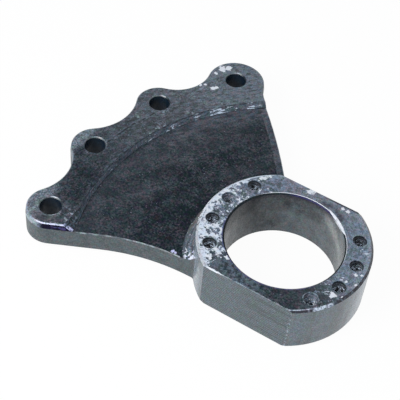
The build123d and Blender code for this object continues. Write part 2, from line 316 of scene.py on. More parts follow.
class Finish:
    """One material, its colour so far, and short ways to add nodes to it.
    Places in it: x, y and z; radius, angle and west about the bore, where angle is 0 towards +X and
    west is 0 towards -X; step and bearing, the radius and the angle from -X about the step's centre."""

    def __init__(self, name):
        self.material = bpy.data.materials.new(name)
        self.material.use_nodes = True
        self.tree = self.material.node_tree
        self.shader = self.tree.nodes["Principled BSDF"]
        self.place = self.add("ShaderNodeTexCoord").outputs["Object"]
        self.x, self.y, self.z = self.add("ShaderNodeSeparateXYZ", Vector=self.place).outputs
        self.radius = self.distance(AXIS)
        self.angle = self.turn(AXIS)
        self.west = self.turn(AXIS, -1)
        self.step = self.distance(STEP_CENTRE)
        self.bearing = self.turn(STEP_CENTRE, -1)
        self.colour = BLACK

    def add(self, kind, **inputs):
        """A new node with some of its inputs plugged."""
        node = self.tree.nodes.new(kind)
        for name, value in inputs.items():
            self.plug(node.inputs[name], value)
        return node

    def plug(self, socket, value):
        if isinstance(value, bpy.types.NodeSocket):
            self.tree.links.new(value, socket)
        else:
            socket.default_value = value

    def set(self, name, value):
        self.plug(self.shader.inputs[name], value)

    def math(self, operation, *values):
        node = self.add("ShaderNodeMath")
        node.operation = operation
        for socket, value in zip(node.inputs, values):
            self.plug(socket, value)
        return node.outputs[0]

    def chain(self, operation, total, *values):
        """Any number of values, joined two by two."""
        for value in values:
            total = self.math(operation, total, value)
        return total

    def times(self, *values):
        return self.chain("MULTIPLY", *values)

    def plus(self, *values):
        return self.chain("ADD", *values)

    def most(self, *values):
        return self.chain("MAXIMUM", *values)

    def minus(self, first, second):
        return self.math("SUBTRACT", first, second)

    def fade(self, value, low, high, start=0, end=1):
        """A smooth change from start to end while value goes from low to high."""
        node = self.add("ShaderNodeMapRange")
        node.interpolation_type = "SMOOTHSTEP"
        for socket, number in zip(node.inputs, (value, low, high, start, end)):
            self.plug(socket, number)
        return node.outputs[0]

    def span(self, share, start, end=1):
        """A smooth change from start to end while a share goes from 0 to 1."""
        return self.fade(share, 0, 1, start, end)

    def band(self, value, low, high, soft):
        """1 where value lies between low and high, with soft ends."""
        rise = self.fade(value, low - soft, low + soft)
        fall = self.fade(value, high - soft, high + soft, 1, 0)
        return self.times(rise, fall)

    def sector(self, limits):
        """1 in a sector of the ring, counted from +X."""
        return self.band(self.angle, *limits)

    def side(self, limits):
        """1 in a sector of the ring, counted from -X."""
        return self.band(self.west, *limits)

    def inwards(self, low, high, start=0, end=1):
        """A fade over the distance inwards from the ring's outside."""
        return self.fade(self.radius, RING_RADIUS - low, RING_RADIUS - high, start, end)

    def down(self, low, high, start=0, end=1):
        """A fade over the depth under the ring's top."""
        return self.fade(self.z, RING_TOP - low, RING_TOP - high, start, end)

    def stretched(self, along=1, turn=0, upwards=1):
        """Place in which a pattern is drawn out along a way in the plan, and upwards."""
        node = self.add("ShaderNodeMapping", Vector=self.place, Scale=(along, 1, upwards))
        node.vector_type = "TEXTURE"
        self.plug(node.inputs["Rotation"], (0, 0, radians(turn)))
        return node.outputs[0]

    def along_arc(self, centre, radius, around, rise=1):
        """Place in which a pattern follows a circle about an upright axis, drawn out by around."""
        turn = self.times(self.turn(centre), pi / 180)
        x = self.times(self.math("COSINE", turn), radius / around)
        y = self.times(self.math("SINE", turn), radius / around)
        z = self.plus(self.distance(centre), self.times(self.z, rise))
        return self.add("ShaderNodeCombineXYZ", X=x, Y=y, Z=z).outputs[0]

    def noise(self, size, detail=4, rough=0.5, place=None):
        """Noise from 0 to 1 whose grain is about as large as size."""
        values = {"Scale": 1 / size, "Detail": detail, "Roughness": rough}
        return self.add("ShaderNodeTexNoise", Vector=place or self.place, **values).outputs[0]

    def mottle(self, size, low, high, start=0, end=1, detail=4, rough=0.5, place=None):
        """Patches about as large as size: start where noise is below low, end where it is above high."""
        return self.fade(self.noise(size, detail, rough, place), low, high, start, end)

    def mix(self, share, first, second, blend="MIX"):
        node = self.add("ShaderNodeMix")
        node.data_type = "RGBA"
        node.blend_type = blend
        for socket, value in zip((node.inputs[0], node.inputs[6], node.inputs[7]), (share, first, second)):
            self.plug(socket, value)
        return node.outputs[2]

    def lay(self, colour, *shares, blend="MIX"):
        """Lays a colour over the colour so far, as far as the shares multiplied tell."""
        self.colour = self.mix(self.times(*shares), self.colour, colour, blend)

    def edges(self, reach):
        """1 near outer edges, 0 further away than reach."""
        node = self.add("ShaderNodeAmbientOcclusion", Distance=reach)
        node.inside = True
        node.samples = EDGE_SAMPLES
        return self.fade(node.outputs["AO"], EDGE_FULL, EDGE_NONE, 1, 0)

    def from_axis(self, centre, side):
        """x and y from an upright axis, turned half round where side is -1."""
        pairs = zip((self.x, self.y), centre)
        return [self.times(self.minus(value, middle), side) for value, middle in pairs]

    def distance(self, centre):
        """Distance from an upright axis."""
        x, y = self.from_axis(centre, 1)
        return self.math("SQRT", self.plus(self.times(x, x), self.times(y, y)))

    def turn(self, centre, side=1):
        """Angle about an upright axis, from -180 to 180: 0 towards +X, or towards -X where side is -1."""
        x, y = self.from_axis(centre, side)
        return self.times(self.math("ARCTAN2", y, x), 180 / pi)

    def near(self, point, reach, soft):
        """1 within reach of a point in the plan."""
        return self.fade(self.distance(point), reach - soft, reach + soft, 1, 0)

    def bump(self, height, depth):
        return self.add("ShaderNodeBump", Height=height, Distance=depth).outputs[0]


def painted(f, paler=0):
    """Worn black paint: green, violet and brown blacks, rubbed grey in grains, clumps and smears.
    The rubbed parts are glossier. Paler adds to the rubbing."""
    hue = f.mix(f.mottle(0.0034, 0.45, 0.62, detail=3), PAINT_GREEN, PAINT_VIOLET)
    hue = f.mix(f.mottle(0.0042, 0.54, 0.7, 0, 0.8, detail=3), hue, PAINT_BROWN)
    grain = f.mottle(0.0018, 0.28, 0.76, detail=3, rough=0.8)
    clumps = f.mottle(0.013, 0.34, 0.7, detail=6, rough=0.75)
    drawn_out = f.stretched(4.5, STREAK_TURN)
    smears = f.mottle(0.009, 0.46, 0.68, detail=6, rough=0.65, place=drawn_out)
    rubbing = f.plus(f.times(grain, f.span(f.most(clumps, smears), 0.36)), paler)
    f.set(GLOSS, f.fade(rubbing, 0, 0.8, 0.06, 0.42))
    rubbed = f.mix(f.mottle(0.004, 0.42, 0.58, rough=0.65), PAINT_GREY_COOL, PAINT_GREY_WARM)
    colour = f.mix(rubbing, hue, rubbed)
    flecks = f.mottle(0.0017, 0.66, 0.74, detail=2, rough=0.7)
    clusters = f.mottle(0.016, 0.42, 0.6, 0.3, 0.95, detail=3)
    return f.mix(f.times(flecks, clusters), colour, DUST_AND_SHEEN)


def speckle(f):
    """Breaks the colour so far into fine lighter, darker, warmer and greener grains; less where bright."""
    tint = f.mix(f.mottle(0.0036, 0.42, 0.58, rough=0.8), TINT_COOL, TINT_WARM)
    tint = f.mix(f.mottle(0.0046, 0.49, 0.6, rough=0.8), tint, TINT_GREEN)
    light = f.mottle(0.001, 0.3, 0.7, 0.55, 1.5, detail=2, rough=0.8)
    grey = f.add("ShaderNodeRGBToBW", Color=f.colour).outputs[0]
    share = f.fade(grey, 0.15, 0.5, 1, 0.15)
    f.lay(tint, share, blend="MULTIPLY")
    f.lay(light, share, blend="MULTIPLY")


def satin(f, low=0.34, high=0.52, peel=0.00012):
    """Puts the colour on the shader with fine specks, a satin gloss that varies and an uneven skin."""
    speckle(f)
    f.set("Base Color", f.colour)
    f.set("Roughness", f.mottle(0.004, 0.3, 0.7, low, high, detail=2))
    f.set("Normal", f.bump(f.noise(0.0025, 3), peel))
    return f.material


def worn_edge(f, reach):
    """1 on the worn parts of the outer edges."""
    return f.times(f.edges(reach), f.mottle(0.005, 0.45, 0.62))


def in_metres(places):
    """Places given as x, y and reach in millimetres, each as a point and a reach in metres."""
    return [((x / 1000, y / 1000), reach / 1000) for x, y, reach in places]


def patches(f, places, soft):
    """1 in soft round patches at the places."""
    return f.most(*[f.near(point, reach, soft) for point, reach in in_metres(places)])


def ragged_spots(f, places):
    """1 in ragged spots at the places: chipped paint, and on the web painted glints."""
    spots = [f.fade(f.distance(point), reach, 0) for point, reach in in_metres(places)]
    total = f.most(*spots)
    coarse = f.times(f.noise(0.0022, 4, 0.7, f.stretched(1.8, 40)), 2.8)
    fine = f.times(f.noise(0.001, 2), 1.2)
    ragged = f.fade(f.plus(total, coarse, fine), 2.34, 2.44)
    return f.times(ragged, f.fade(total, 0, 0.15))


def web_finish():
    """Near black paint, with a broken dark line of painted shade at the foot of the step and one pale line
    behind.
    """
    f = Finish("web_paint")
    broad = f.mottle(0.022, 0.4, 0.6, -0.07, 0.05, 3, place=f.stretched(4, STREAK_TURN))
    middle = f.times(f.fade(f.step, 0.158, 0.14), f.fade(f.bearing, -24, -12, 0, -0.14))
    f.colour = painted(f, f.plus(broad, middle, f.fade(f.x, -0.1, -0.15, 0, 0.09)))
    broken = f.mottle(0.005, 0.42, 0.56)
    drawn = f.mottle(0.0034, 0.36, 0.62, 0.25, 1, 5, 0.65, f.stretched(3, STREAK_TURN))
    rubbed = f.mix(f.mottle(0.0045, 0.42, 0.58, rough=0.65), PAINT_RUBBED, PAINT_PINK)
    under_step = f.times(f.fade(f.step, 0.172, 0.193), f.fade(f.bearing, 0, -40, 0.05, 0.62))
    f.lay(rubbed, under_step, drawn)
    from_arc = f.distance(REAR_EDGE_CENTRE)
    line = f.band(from_arc, REAR_EDGE_RADIUS - 0.0064, REAR_EDGE_RADIUS - 0.0056, 0.0006)
    f.lay(rubbed, line, broken, 0.55)
    strip = f.fade(from_arc, REAR_EDGE_RADIUS - 0.0075, REAR_EDGE_RADIUS - 0.0045, 0, 0.52)
    f.lay(rubbed, strip, drawn)
    smears = f.mottle(0.0028, 0.46, 0.62, 0, 0.6, rough=0.6, place=f.stretched(3, 45))
    f.lay(PAINT_PINK, patches(f, WEB_SMEARS, 0.005), smears)
    # Painted shade in the crease at the foot of the step
    wander = f.plus(f.step, f.mottle(0.009, 0.3, 0.7, -0.0004, 0.0004, 3))
    foot = f.fade(wander, STEP_RADIUS - 0.0011, STEP_RADIUS - 0.0005)
    foot = f.times(foot, f.fade(f.bearing, 20, 14, 0.1, 0.8))
    f.lay(BLACK, foot, f.span(broken, 1, 0.3))
    # Painted glints
    f.lay(BARE_VIOLET_AND_GLINT, ragged_spots(f, WEB_GLINTS))
    return satin(f)


def pad_finish():
    """The same paint on the raised pad, paler towards the rear lug, rubbed paler along its outline, with a
    painted glint along the front lug's edge.
    """
    f = Finish("pad_paint")
    paler = f.plus(f.fade(f.bearing, 6, -24, -0.05, 0.36), f.fade(f.bearing, 11, 19, 0, 0.22))
    f.colour = painted(f, paler)
    rub_pad(f)
    wear_noses(f)
    line_pad(f)
    scuffs = f.mottle(0.0026, 0.52, 0.62, 0, 0.7, 3, place=f.stretched(2, -20))
    f.lay(DUST_AND_SHEEN, patches(f, PAD_SCUFFS, 0.004), scuffs)
    # Painted glint along the first lug's front edge
    front = f.times(f.fade(f.y, -0.062, -0.07), f.fade(f.x, *FIRST_LUG_GLINT_X, 0.1))
    f.lay(BARE_BLUE_AND_GLINT, f.edges(0.003), front, f.mottle(0.0036, 0.42, 0.54, detail=3))
    coarse = f.mottle(0.0028, 0.36, 0.64, 0.6, 1.44, 5, 0.7, f.stretched(1.7, STREAK_TURN))
    f.lay(coarse, f.fade(f.bearing, -34, -42, 1, 0.3), blend="MULTIPLY")
    f.lay(DUST_AND_SHEEN, ragged_spots(f, PAD_SPECKS), 0.7)
    f.lay(BARE_AND_GLARE, ragged_spots(f, PAD_CHIPS))
    return satin(f)


def rub_pad(f):
    """Makes the pad's paint paler towards the rear lug, in streaks, clouds and grains, and rubs it paler
    along its outline.
    """
    rear = f.fade(f.bearing, 8, -42)
    streaks = f.mottle(0.0042, 0.38, 0.62, 0.1, 1, 5, 0.65, f.stretched(2.5, 60))
    f.lay(PAINT_RUBBED, rear, streaks)
    clouds = f.mottle(0.005, 0.36, 0.58, 0.2, 0.85, rough=0.65)
    f.lay(PAINT_RUBBED, f.fade(f.bearing, -29, -43), clouds)
    f.lay(PAINT_PINK, rear, f.mottle(0.006, 0.47, 0.6, 0, 0.6, 5, 0.7))
    grained = f.fade(rear, 0, 0.5)
    grain = f.mottle(0.002, 0.46, 0.64, 0, 0.85, 3, 0.75, f.stretched(2.5, STREAK_TURN))
    f.lay(PAINT_GREEN, grained, grain)
    f.lay(DUST_AND_SHEEN, grained, f.mottle(0.0016, 0.6, 0.66, 0, 0.8, 3, 0.7))
    outline = f.times(f.edges(0.006), f.mottle(0.003, 0.42, 0.6, rough=0.65))
    f.lay(PAINT_RUBBED, outline, f.fade(f.bearing, 14, 4, 0.35, 0.7))
    shade = f.times(f.band(f.bearing, -33, -12, 4), f.fade(f.step, 0.226, 0.206, 0.4))
    f.lay(SHADED, shade, blend="MULTIPLY")
    lug = f.times(f.fade(f.bearing, 16, 20), f.fade(f.step, 0.212, 0.22, 0, 0.5))
    f.lay(PAINT_PINK, lug, streaks)


def wear_noses(f):
    """Wears the noses of the first two lugs."""
    first = f.times(f.fade(f.x, *FIRST_NOSE_X), f.fade(f.y, *FIRST_NOSE_Y))
    second = f.times(f.fade(f.x, *SECOND_NOSE_X), f.fade(f.y, *SECOND_NOSE_Y))
    f.lay(DUST_AND_SHEEN, f.most(first, second), f.mottle(0.0017, 0.38, 0.6, 0.2, 1, rough=0.7), 0.7)


def line_pad(f):
    """Draws the tool's witness line, rubbed on both sides, and the dark line along the step's top."""
    halo = f.band(f.step, SCRIBE_RADIUS - 0.002, SCRIBE_RADIUS + 0.002, 0.0006)
    halo = f.times(halo, f.band(f.bearing, SCRIBE_START, SCRIBE_END, 2))
    f.lay(PAINT_RUBBED, halo, f.mottle(0.0035, 0.44, 0.6, 0, 0.5, rough=0.6))
    waver = f.plus(f.step, f.mottle(0.012, 0.3, 0.7, -0.0005, 0.0005, 2))
    line = f.band(waver, SCRIBE_RADIUS - 0.0008, SCRIBE_RADIUS + 0.0008, 0.0004)
    line = f.times(line, f.band(f.bearing, SCRIBE_START, SCRIBE_END, 1))
    f.lay(BLACK, line, f.mottle(0.005, 0.38, 0.5))
    full = f.fade(f.bearing, -10, -30, 0.35, 0.75)
    lip = f.fade(f.step, STEP_TOP_RADIUS + 0.0008, STEP_TOP_RADIUS + 0.0002, 0, full)
    f.lay(BLACK, lip, f.mottle(0.005, 0.4, 0.5))


def step_finish():
    """The step's face: rubbed grey, dark and broken at its top, with long painted glints towards the rear.
    """
    f = Finish("step_face")
    f.colour = painted(f, 0.3)
    lengthwise = f.along_arc(STEP_CENTRE, STEP_RADIUS, 3)
    f.lay(PAINT_RUBBED, f.mottle(0.0024, 0.36, 0.6, 0.3, 1, 3, place=lengthwise))
    f.lay(PAINT_PINK, f.mottle(0.003, 0.48, 0.6, 0, 0.6, rough=0.65))
    # Painted glints in long streaks, strongest at the listed bearings
    glints = [f.times(f.band(f.bearing, first, last, 0.7), share) for first, last, share in STEP_GLINTS]
    heavy = f.most(*glints)
    along = f.plus(f.fade(f.bearing, 0, -25, -0.02, 0), f.times(heavy, 0.115))
    clusters = f.mottle(0.008, 0.4, 0.6, -0.05, 0.04, 2)
    glint_streaks = f.fade(f.plus(f.noise(0.0018, 4, 0.65, lengthwise), along, clusters), 0.63, 0.67)
    f.lay(f.mix(heavy, BARE_BLUE_AND_GLINT, BARE_COLD_AND_GLINT), glint_streaks)
    top = f.fade(f.step, STEP_RADIUS + 0.0014, STEP_RADIUS + 0.002)
    f.lay(BLACK, top, f.mottle(0.004, 0.42, 0.54, 0, 0.6))
    return satin(f, 0.25, 0.4)


def wall_finish():
    """Flame cut and ground side walls, mid grey with green and brown mottling."""
    f = Finish("side_wall")
    hue = f.mix(f.mottle(0.004, 0.45, 0.6, detail=3), CAST, CAST_BROWN)
    f.colour = f.mix(f.mottle(0.007, 0.35, 0.6), CAST_DARK, hue)
    f.lay(GROUND, f.mottle(0.0018, 0.42, 0.66, 0, 0.5, 3, 0.7))
    f.lay(DUST_AND_SHEEN, worn_edge(f, 0.0012), 0.5)
    return satin(f, 0.38, 0.55)


def pad_wall_finish():
    """Wall of the raised pad: black with painted blue glints on the front lug, worn pale round its nose."""
    f = Finish("pad_wall")
    nose = f.fade(f.x, -0.182, -0.192)
    lengthwise = f.stretched(2, FRONT_EDGE_ANGLE)
    # Painted glints on the front lug's wall
    glints = f.mottle(0.0034, 0.52, 0.6, 0, 0.6, rough=0.6, place=lengthwise)
    f.colour = f.mix(glints, BLACK_VIOLET, DEEP_VIOLET_BLUE)
    f.lay(DUST_AND_SHEEN, nose, f.mottle(0.004, 0.34, 0.54))
    behind = f.fade(f.y, -0.045, -0.03)
    f.lay(f.mix(f.mottle(0.003, 0.4, 0.6), PAINT_GREY, PAINT_RUBBED), behind)
    f.set(GLOSS, f.most(f.times(nose, 0.4), f.span(behind, 0.04, 0.4)))
    return satin(f, 0.3, 0.45)


def corner_finish():
    """The pad's worn front corner: bare metal with a painted bright glint at the edge, scuffed paint
    further in.
    """
    f = Finish("worn_corner")
    outwards = radians(FRONT_EDGE_ANGLE - 90)
    inset = f.plus(f.times(f.x, -cos(outwards)), f.times(f.y, -sin(outwards)))
    inset = f.plus(inset, f.times(f.noise(0.004, 4, 0.6), 0.005))
    f.colour = painted(f)
    f.lay(PAINT_RUBBED, f.mottle(0.003, 0.5, 0.6, 0, 0.8, rough=0.6))
    # Painted glint on the bare edge
    bright = f.fade(inset, FRONT_EDGE_INSET + 0.0062, FRONT_EDGE_INSET + 0.0048)
    f.lay(BARE_VIOLET_AND_GLINT, bright, f.mottle(0.0026, 0.36, 0.46, detail=3))
    return satin(f, 0.18, 0.3, 0.0004)


def ring_top_finish():
    """Ring's top: paint rubbed grey, which also stands for a painted sheen, black in front, knocked off in
    patches towards the web.
    """
    f = Finish("ring_top")
    black = painted(f, f.fade(f.angle, -62, -46, 0.05, 0.2))
    rub_ring(f, black)
    bare_ring(f, black)
    scratch_ring(f)
    edge_ring(f, black)
    return satin(f, 0.32, 0.5)


def rub_ring(f, black):
    """Paint of the ring's top: brushed grey that is partly a painted sheen, scuffed black in places, pink
    behind and black in front.
    """
    brushed = f.mottle(0.0022, 0.4, 0.6, rough=0.65, place=f.along_arc(AXIS, RING_RADIUS, 2.5))
    f.colour = f.mix(brushed, RING_GREY_DARK, RING_GREY)
    scuffed = f.most(f.side(SCUFFED_SIDE), 0.3)
    f.lay(black, scuffed, f.mottle(0.0046, 0.47, 0.58, detail=5, rough=0.65), 0.7)
    rear = f.sector(REAR_SECTOR)
    f.lay(PAINT_PINK, rear, f.mottle(0.0034, 0.42, 0.58, 0.1, 0.75, rough=0.7))
    f.lay(DUST_AND_SHEEN, rear, f.mottle(0.0017, 0.58, 0.66, 0, 0.8, 3, 0.7))
    f.lay(black, f.fade(f.angle, -146, -126), f.fade(f.angle, -38, -1, 1, 0))
    f.lay(PAINT_RUBBED, f.sector(RUBBED_SECTOR), f.mottle(0.003, 0.38, 0.6, 0.05, 0.7))
    outer = f.times(f.sector(DUSTY_SECTOR), f.inwards(0.008, 0.0035))
    f.lay(DUST_AND_SHEEN, outer, f.mottle(0.0026, 0.43, 0.58, 0, 0.95, rough=0.7))


def bare_ring(f, black):
    """Knocks the paint off in patches towards the web, but not round the taps, and in a few flakes."""
    side = f.side(WEB_SIDE)
    rim = f.inwards(0.009, 0.004)
    front = f.times(f.side(BARE_SIDE), f.inwards(0.0195, 0.0115, 0.2))
    front_rim = f.times(f.side(BARE_RIM_SIDE), f.inwards(0.0105, 0.0055, 0, 0.14))
    loss = f.plus(f.times(side, f.plus(0.17, f.times(f.most(rim, front), 0.28))), front_rim)
    for places, change in ((RING_BARE, 0.16), (RING_PAINTED, -0.16)):
        loss = f.plus(loss, f.times(patches(f, places, 0.003), change))
    fine = f.times(f.noise(0.0022, 3, 0.6), 0.45)
    bare = f.fade(f.plus(f.noise(0.0062, 5, 0.7), fine, loss), 0.93, 0.98)
    spots = f.times(f.mottle(0.0034, 0.52, 0.56, rough=0.65), f.inwards(0.0013, 0.0035))
    collars = f.most(*[f.near(centre, THREAD_MAJOR_RADIUS + 0.0003, 0.0007) for centre in web_taps])
    kept = f.most(spots, f.times(collars, f.mottle(0.0028, 0.42, 0.5, rough=0.65)))
    bare = f.times(bare, f.span(kept, 1, 0.03))
    f.lay(black, kept, side, 0.5)
    flaked = f.most(f.band(f.y, FLAT_OFFSET - 0.0082, FLAT_OFFSET - 0.0012, 0.001), f.sector(FLAKED_SECTOR))
    flakes = f.times(f.mottle(0.003, 0.575, 0.62, detail=5, rough=0.7), flaked, 0.8)
    metal = f.mix(f.mottle(0.004, 0.42, 0.58), BARE_AND_GLARE, BARE_BLUE_AND_GLINT)
    metal = f.mix(f.mottle(0.003, 0.52, 0.68), metal, RING_GREY)
    f.lay(metal, f.most(bare, flakes))
    f.lay(BARE_AND_GLARE, ragged_spots(f, RING_CHIPS))


def scratch_ring(f):
    """Scratches, the bare border inside the rim, the outlines of the taps, and worn edges."""
    scratches = f.mottle(0.0019, 0.54, 0.62, rough=0.6, place=f.stretched(2.6, SCRATCH_TURN))
    f.lay(BARE_BLUE_AND_GLINT, scratches, patches(f, RING_SCUFFS, 0.0015), 0.9)
    border = f.times(f.inwards(0.0031, 0.0023), f.side(BORDER_SIDE))
    dimmer = f.fade(f.west, DIMMER_FROM, DIMMER_TO, 1, 0.6)
    f.lay(BARE_BLUE_AND_GLINT, border, f.mottle(0.0035, 0.36, 0.46), dimmer)
    for centre in tap_centres:
        share = 1 if centre == tap_centres[CHALKY_TAP] else 0.3
        outline = f.band(f.distance(centre), THREAD_MAJOR_RADIUS, THREAD_MAJOR_RADIUS + 0.0006, 0.0003)
        f.lay(DUST_AND_SHEEN, outline, f.mottle(0.003, 0.4, 0.52, detail=3), share)
    f.lay(DUST_AND_SHEEN, f.edges(0.0018), f.mottle(0.004, 0.5, 0.62), 0.8)


def edge_ring(f, black):
    """Edges of the ring's top: painted shade behind the bore, chipped in front, a bright lip that is a
    painted highlight and a blue lip at the bore.
    """
    # Painted shade behind the bore
    inner = f.times(f.sector(BLACK_LIP_SECTOR), f.fade(f.radius, BORE_RADIUS + 0.01, BORE_RADIUS + 0.005))
    f.lay(black, inner, f.mottle(0.004, 0.38, 0.58, 0.2, 0.9, rough=0.65))
    rear = f.fade(f.y, FLAT_OFFSET - 0.0022, FLAT_OFFSET - 0.001, 0, 0.85)
    f.lay(PAINT_VIOLET, rear, f.fade(f.x, 0.002, 0.016))
    ragged = f.plus(f.times(f.noise(0.003), 0.004), f.fade(f.x, -0.02, -0.03, 0, 0.0012))
    forward = f.plus(f.times(f.y, -1), ragged)
    f.lay(BARE_AND_GLARE, f.fade(forward, FLAT_OFFSET + 0.0024, FLAT_OFFSET + 0.0028))
    # Painted highlight next to the bore's bright wedge
    past_lip = f.minus(f.radius, f.fade(f.angle, 45, 74, BORE_RADIUS + 0.0015, BORE_RADIUS + 0.0023))
    f.lay(BARE_AND_GLARE, f.fade(past_lip, 0.0003, -0.0001), f.sector(BRIGHT_LIP_SECTOR))
    at_bore = f.fade(f.radius, BORE_RADIUS + 0.0026, BORE_RADIUS + 0.0019)
    f.lay(DEEP_VIOLET_BLUE, at_bore, f.sector(BLUE_LIP_SECTOR), f.mottle(0.006, 0.38, 0.52, 0.2, 0.9))


def ring_rim_finish():
    """Chamfer round the ring: bare towards the web, half bare at the front corner, else black."""
    f = Finish("ring_rim")
    f.colour = f.mix(f.mottle(0.003, 0.5, 0.7, detail=3), PAINT_VIOLET, PAINT_RUBBED)
    inside = f.times(f.sector(SCRAPED_RIM_INSIDE), f.inwards(0.0013, 0.0019))
    front = f.most(inside, f.sector(SCRAPED_RIM_WHOLE))
    scraped = f.mix(f.mottle(0.0024, 0.44, 0.56, rough=0.65), RING_GREY, BARE_BLUE_AND_GLINT)
    f.lay(scraped, front, f.mottle(0.0022, 0.34, 0.44))
    bright = f.times(f.side(BRIGHT_RIM_SIDE), f.mottle(0.0026, 0.34, 0.44))
    f.lay(BARE_AND_GLARE, bright, f.fade(f.west, DIMMER_FROM, DIMMER_TO, 1, 0.5))
    return satin(f, 0.2, 0.35)


def bore_rim_finish():
    """Chamfer of the bore: a painted highlight, as a bright wedge where it faces the light and then a thin
    pale line; else dark.
    """
    f = Finish("bore_rim")
    # Painted highlight on the chamfer
    wedge = f.times(f.fade(f.angle, 36, 46), f.fade(f.angle, 78, 60))
    thin = f.times(f.sector(THIN_LINE_SECTOR), 0.28)
    width = f.times(f.most(wedge, thin), BORE_CHAMFER)
    inner = f.minus(BORE_RADIUS + BORE_CHAMFER, width)
    lit = f.fade(f.minus(f.radius, inner), -0.0001, 0.0002)
    f.colour = f.mix(f.sector(BLUE_RIM_SECTOR), BORED_DARK, PAINT_BLUE)
    f.lay(BARE_AND_GLARE, lit, f.mottle(0.004, 0.3, 0.5, 0.75, 1, 3))
    f.set(GLOSS, f.span(lit, 0.04, 0.4))
    return satin(f, 0.2, 0.35)


def ring_wall_finish():
    """Outside of the ring: turned, dark satin, with faint upright bands and brown stains; a painted gleam
    towards +X, and a painted highlight and a painted shade in bands.
    """
    f = Finish("ring_wall")
    bands = f.mottle(0.007, 0.38, 0.62, detail=3, place=f.stretched(upwards=8))
    f.colour = f.mix(bands, RING_WALL_DARK, GROUND)
    # Painted gleam of light towards +X
    f.lay(DUST_AND_SHEEN, f.sector(WALL_GLEAM))
    stain = f.mix(f.mottle(0.016, 0.45, 0.55, detail=2), STAIN_BROWN, GROUND_DARK)
    drawn_up = f.stretched(upwards=4)
    f.lay(stain, f.mottle(0.01, 0.44, 0.6, 0, 0.55, rough=0.55, place=drawn_up))
    f.lay(DUST_AND_SHEEN, f.mottle(0.002, 0.5, 0.8, 0, 0.25, 3))
    # Painted highlight and painted shade in upright bands
    f.lay(DUST_AND_SHEEN, f.sector(WALL_HIGHLIGHT), 0.16)
    f.lay(GROUND_DARK, f.sector(WALL_SHADE), 0.16)
    neck = f.sector(WALL_NECK)
    f.lay(DUST_AND_SHEEN, neck, 0.4)
    runs = f.mottle(0.005, 0.45, 0.6, rough=0.65, place=f.stretched(upwards=2.5))
    f.lay(DUST_AND_SHEEN, neck, runs, f.band(f.z, 0.016, 0.036, 0.006))
    f.lay(DUST_AND_SHEEN, worn_edge(f, 0.001), 0.8)
    return satin(f, 0.2, 0.3, 0.00005)


def flat_finish():
    """Milled flat: fine slanting cutter marks, a few long lines, and a chipped top edge."""
    f = Finish("milled_flat")
    lean = radians(MILLING_LEAN)
    across = f.plus(f.times(f.x, cos(lean)), f.times(f.z, -sin(lean)))
    wander = f.times(f.noise(0.012, 2), 4)
    marks = f.math("SINE", f.plus(f.times(across, 2 * pi / MILLING_PITCH), wander))
    marks = f.fade(marks, -1, 1)
    f.colour = f.mix(f.span(marks, 0.06, 0.76), GROUND_DARK, GROUND)
    blotch = f.mix(f.noise(0.009, 1), PAINT_RUBBED, CAST)
    f.lay(blotch, f.mottle(0.006, 0.35, 0.65, detail=3), 0.45)
    lines = f.mottle(0.002, 0.52, 0.6, detail=3, place=f.stretched(30))
    f.lay(CAST_DARK, lines, f.fade(f.x, -0.02, 0.02), 0.6)
    f.lay(DUST_AND_SHEEN, f.down(0.0011, 0.0003), f.mottle(0.004, 0.42, 0.5))
    ragged = f.plus(f.z, f.times(f.noise(0.004), 0.003))
    f.lay(BARE_AND_GLARE, f.fade(f.x, -0.018, -0.028), f.fade(ragged, RING_TOP - 0.0005, RING_TOP + 0.0005))
    f.lay(DUST_AND_SHEEN, f.fade(f.x, 0.038, 0.0402), f.mottle(0.0034, 0.5, 0.6, rough=0.65), 0.8)
    speckle(f)
    f.set("Base Color", f.colour)
    f.set("Roughness", 0.38)
    f.set("Normal", f.bump(marks, 0.00006))
    return f.material


def bore_finish():
    """Bored wall: dark, smooth, with broad smears; painted reflection makes it paler at the sides and
    towards the bottom, and painted shade darker behind and towards the web.
    """
    f = Finish("bored_wall")
    smears = f.mottle(0.011, 0.36, 0.64, detail=6, rough=0.65)
    # Painted reflection and painted shade: paler at the sides and near the bottom, darker behind
    dark_side = f.sector(BORE_DARK_SECTOR)
    foot = f.most(f.down(0.016, 0.028, 0, 0.95), f.down(0.037, 0.046, 0, 1.5))
    foot = f.times(foot, f.fade(f.angle, 128, 113, 0.4))
    right = f.sector(BORE_PALE_SECTOR)
    pale = f.times(f.span(dark_side, 1, 0.12), f.most(right, f.down(0.003, 0.033, 0.15)))
    pale = f.most(pale, f.times(dark_side, foot))
    f.colour = f.mix(f.plus(f.times(pale, 0.75), f.times(smears, 0.4)), BORED_DARK, BORED)
    tinge = f.mix(f.mottle(0.005, 0.46, 0.54, detail=3, rough=0.6), BORED_BROWN, BORED_BLUE)
    f.lay(tinge, f.mottle(0.0034, 0.42, 0.6, 0, 0.6, rough=0.7))
    streak_bore(f)
    # Painted shade towards the web
    left = f.times(f.side(BORE_LEFT_SIDE), f.down(0.035, 0.007))
    f.lay(BORED_DARK, left, 0.8)
    border_bore(f)
    dim = f.times(dark_side, f.fade(foot, 0, 0.9, 1, 0))
    gloss = f.times(f.span(dim, 0.5, 0.3), f.span(left, 1, 0.4))
    mottled = f.times(f.mottle(0.0016, 0.3, 0.7, 0.4, 1.6, rough=0.8), f.span(smears, 0.8, 1.2))
    f.set(GLOSS, f.times(gloss, mottled))
    return satin(f, 0.26, 0.36, 0.00005)


